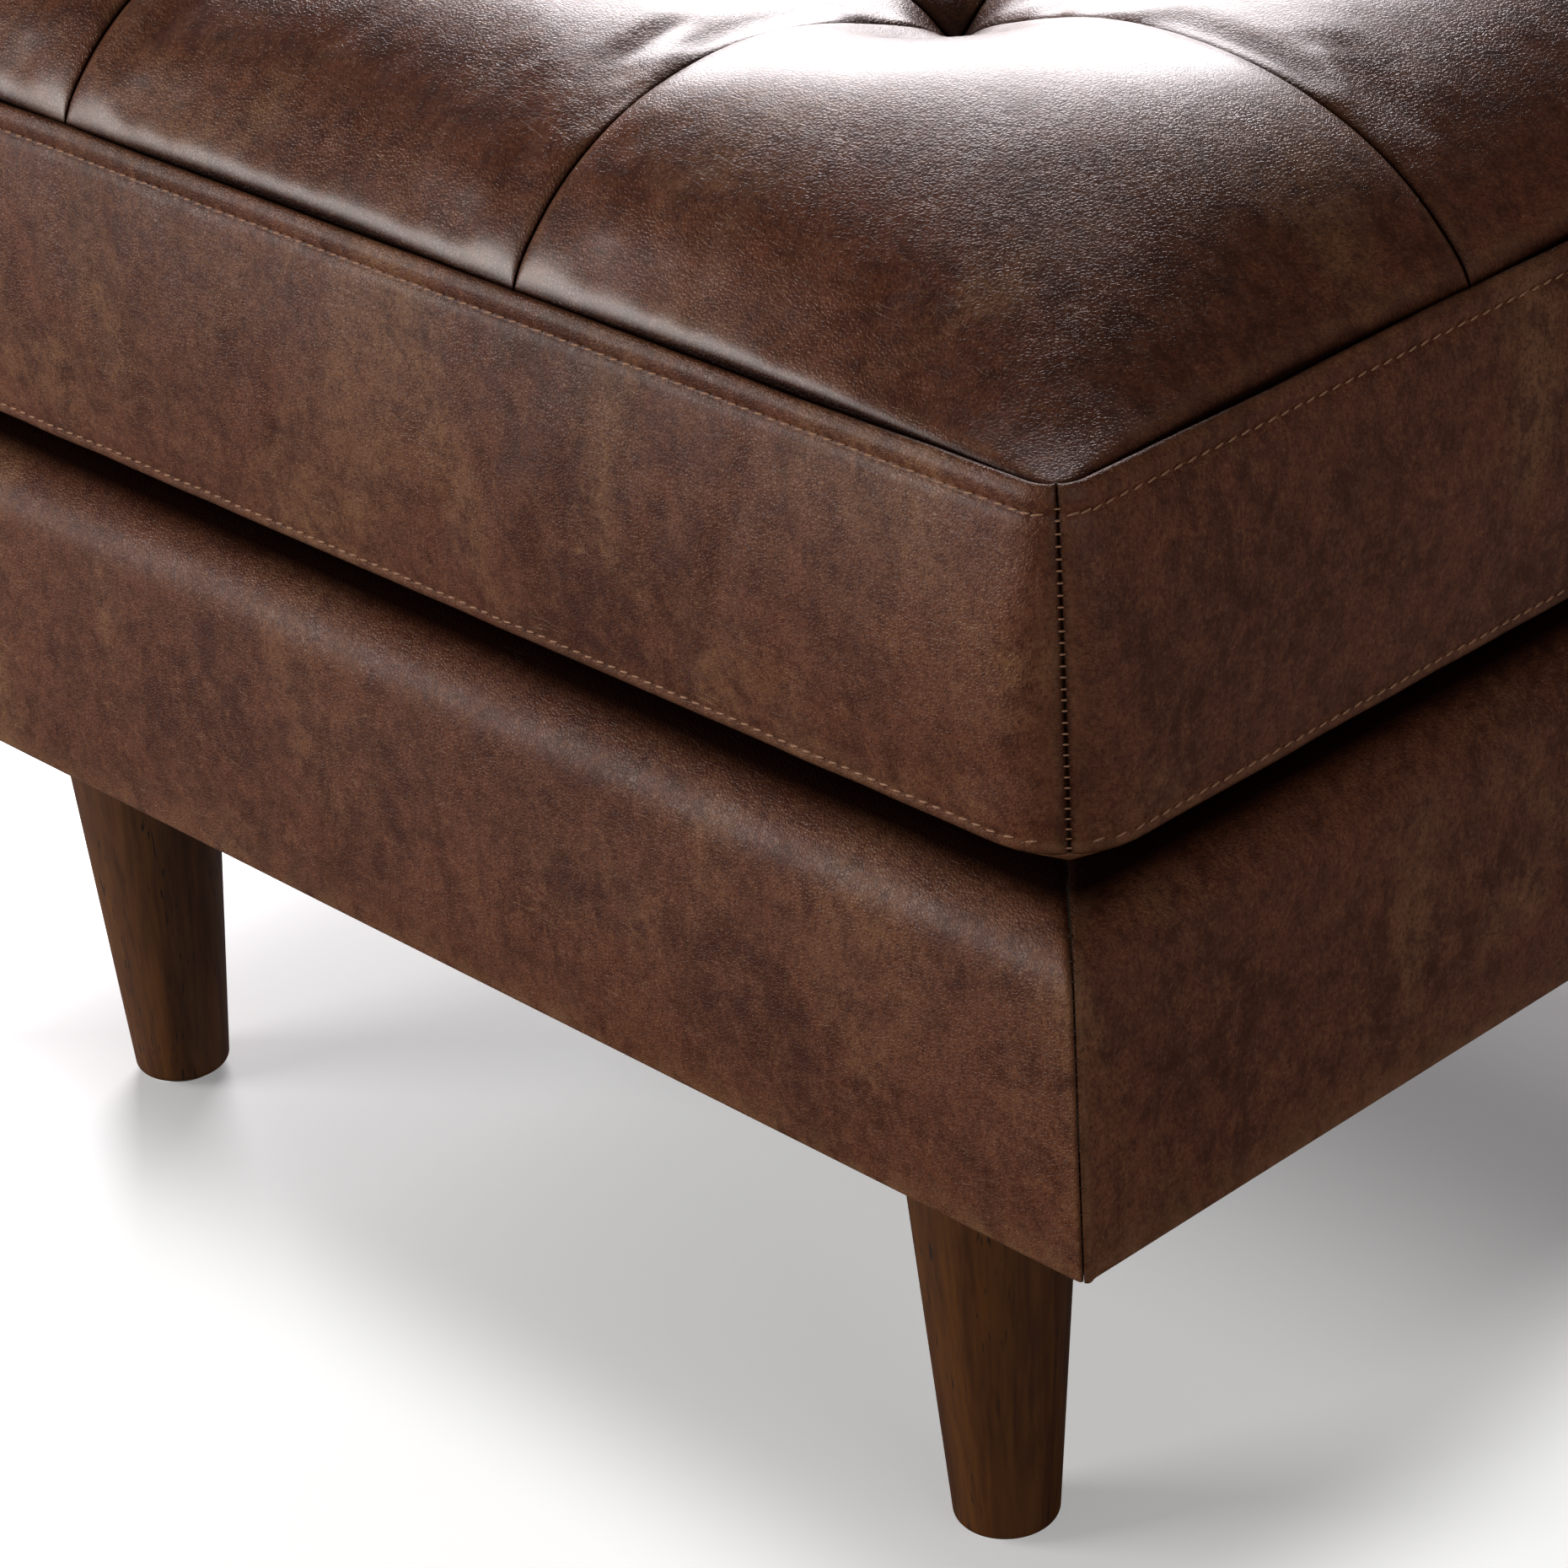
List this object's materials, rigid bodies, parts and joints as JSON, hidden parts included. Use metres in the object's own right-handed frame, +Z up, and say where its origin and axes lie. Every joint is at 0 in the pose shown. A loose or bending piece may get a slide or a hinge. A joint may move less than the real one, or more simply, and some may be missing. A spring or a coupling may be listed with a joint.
{
  "type": "tufted ottoman",
  "caption": "Low leather ottoman with a loose biscuit-tufted box cushion on an upholstered base and round tapered wooden legs.",
  "frame": {"origin": "on the floor, under the middle of the ottoman", "axes": "+X along the long side, +Y to the back, +Z up"},
  "size_m": [0.68, 0.55, 0.4964],
  "materials": {
    "dark_stained_wood": "dark walnut stain, satin lacquer",
    "glide_plastic": "matt",
    "zinc_steel": "zinc plated",
    "staple_wire": "plain wire",
    "frame_wood": "sawn softwood, unfinished",
    "webbing": "woven elastic webbing",
    "base_leather": "waxed pull-up leather, chocolate brown",
    "cushion_leather": "waxed pull-up leather, chocolate brown",
    "foam": "open-cell foam",
    "fibre": "polyester fibre",
    "black_cloth": "spunbonded cloth",
    "twine": "waxed twine",
    "anchor_plastic": "matt",
    "zip_tape": "woven tape",
    "zip_plastic": "moulded",
    "slider_metal": "antique brass"
  },
  "bodies": {
    "base": {"back_left_glide": "glide_plastic", "back_left_leg": "dark_stained_wood", "back_rail": "frame_wood", "back_right_glide": "glide_plastic", "back_right_leg": "dark_stained_wood", "base_cover_back": "base_leather", "base_cover_front": "base_leather", "base_cover_left": "base_leather", "base_cover_right": "base_leather", "bearer_screws": "zinc_steel", "corner_blocks": "frame_wood", "cover_staples": "staple_wire", "deck_cloth": "black_cloth", "deck_pad": "foam", "dust_cover": "black_cloth", "edge_roll": "foam", "front_left_glide": "glide_plastic", "front_left_leg": "dark_stained_wood", "front_rail": "frame_wood", "front_right_glide": "glide_plastic", "front_right_leg": "dark_stained_wood", "hanger_bolts": "zinc_steel", "left_leg_bearer": "frame_wood", "left_rail": "frame_wood", "rail_dowels": "frame_wood", "right_leg_bearer": "frame_wood", "right_rail": "frame_wood", "side_padding": "fibre", "t_nuts": "zinc_steel", "webbing_crosswise": "webbing", "webbing_lengthwise": "webbing", "webbing_staples": "staple_wire"},
    "cushion": {"biscuit_pads": "fibre", "boxing_back": "cushion_leather", "boxing_front": "cushion_leather", "boxing_left": "cushion_leather", "boxing_right": "cushion_leather", "cushion_bottom_panel": "cushion_leather", "cushion_core": "foam", "top_panel_back_centre": "cushion_leather", "top_panel_back_left": "cushion_leather", "top_panel_back_right": "cushion_leather", "top_panel_front_centre": "cushion_leather", "top_panel_front_left": "cushion_leather", "top_panel_front_right": "cushion_leather", "top_panel_middle_centre": "cushion_leather", "top_panel_middle_left": "cushion_leather", "top_panel_middle_right": "cushion_leather", "tuft_anchors": "anchor_plastic", "tuft_ties": "twine", "zip_chain": "zip_plastic", "zip_stops": "zip_plastic", "zip_tapes": "zip_tape"},
    "slider": {"zip_slider": "slider_metal"}
  },
  "joints": [
    {"name": "cushion_lift", "type": "slide", "parent": "base", "child": "cushion", "axis": [0, 0, 1], "range_m": [0, 0.2]},
    {"name": "zip_slide", "type": "slide", "parent": "cushion", "child": "slider", "axis": [-1, 0, 0], "range_m": [0, 0.419]}
  ]
}
